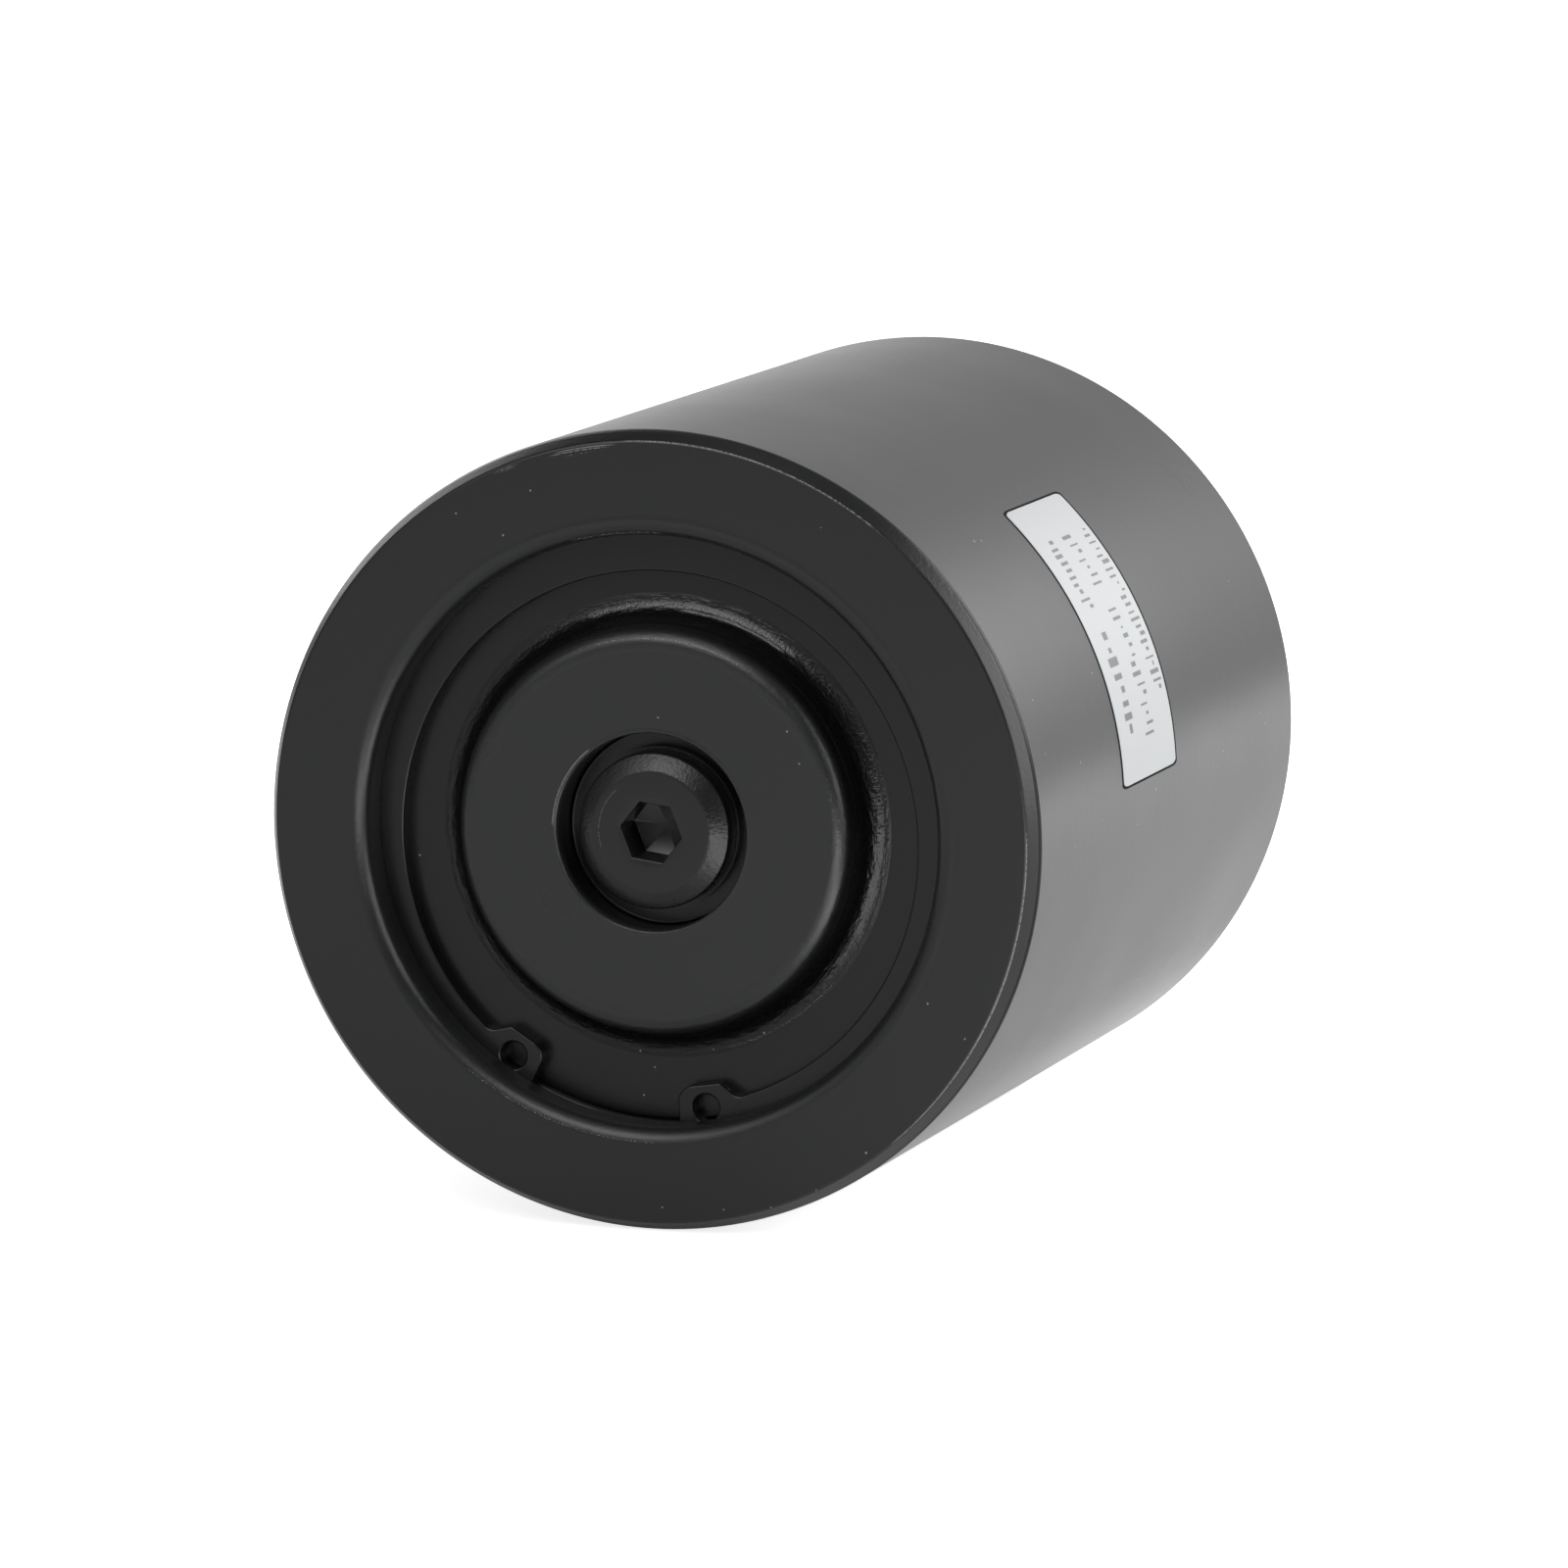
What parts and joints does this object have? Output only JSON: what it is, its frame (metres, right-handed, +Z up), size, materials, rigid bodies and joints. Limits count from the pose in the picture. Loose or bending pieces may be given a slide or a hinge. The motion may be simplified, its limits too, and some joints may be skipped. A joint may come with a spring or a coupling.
{
  "type": "excavator carrier roller",
  "caption": "Plain black steel track carrier roller turning on a one-sided stub shaft, its closed end held by a retaining ring and fitted with an oil plug.",
  "frame": {"origin": "middle of the tread, on the spin axis", "axes": "+Y along the spin axis, from the closed end to the stub of the shaft; +Z up; +X to the right as seen from the closed end"},
  "size_m": [0.084, 0.176, 0.084],
  "materials": {
    "black_paint": "satin black paint",
    "ground_steel": "ground, lightly oiled",
    "bearing_steel": "polished",
    "spring_steel": "dark pressed steel",
    "seal_iron": "lapped face",
    "copper": "soft sealing washer",
    "seal_rubber": "matt"
  },
  "bodies": {
    "shaft": {"shaft": "ground_steel", "shaft_retaining_ring": "spring_steel", "thrust_washer": "ground_steel", "inner_spacer": "ground_steel", "front_bearing_inner_ring": "bearing_steel", "rear_bearing_inner_ring": "bearing_steel", "fixed_seal_ring": "seal_iron", "fixed_toric_ring": "seal_rubber", "seal_collar": "black_paint", "collar_o_ring": "seal_rubber", "collar_pin": "ground_steel"},
    "roller": {"roller_shell": "black_paint", "end_cover": "black_paint", "cover_o_ring": "seal_rubber", "cover_retaining_ring": "black_paint", "oil_plug": "black_paint", "plug_washer": "copper", "outer_spacer": "ground_steel", "front_bearing_outer_ring": "bearing_steel", "rear_bearing_outer_ring": "bearing_steel", "turning_seal_ring": "seal_iron", "turning_toric_ring": "seal_rubber"},
    "front_ball_train": {"front_bearing_balls": "bearing_steel", "front_bearing_front_cage_half": "spring_steel", "front_bearing_rear_cage_half": "spring_steel", "front_bearing_cage_rivets": "spring_steel"},
    "rear_ball_train": {"rear_bearing_balls": "bearing_steel", "rear_bearing_front_cage_half": "spring_steel", "rear_bearing_rear_cage_half": "spring_steel", "rear_bearing_cage_rivets": "spring_steel"}
  },
  "joints": [
    {"name": "roller_spin", "type": "hinge", "parent": "shaft", "child": "roller", "pos_m": [0, 0, 0], "axis": [0, 1, 0], "continuous": true},
    {"name": "front_train_spin", "type": "hinge", "parent": "shaft", "child": "front_ball_train", "pos_m": [0, -0.0223, 0], "axis": [0, 1, 0], "continuous": true},
    {"name": "rear_train_spin", "type": "hinge", "parent": "shaft", "child": "rear_ball_train", "pos_m": [0, 0.0287, 0], "axis": [0, 1, 0], "continuous": true}
  ],
  "couplings": [
    {"joint": "front_train_spin", "follows": "roller_spin", "ratio": 0.60353},
    {"joint": "rear_train_spin", "follows": "roller_spin", "ratio": 0.60353}
  ]
}
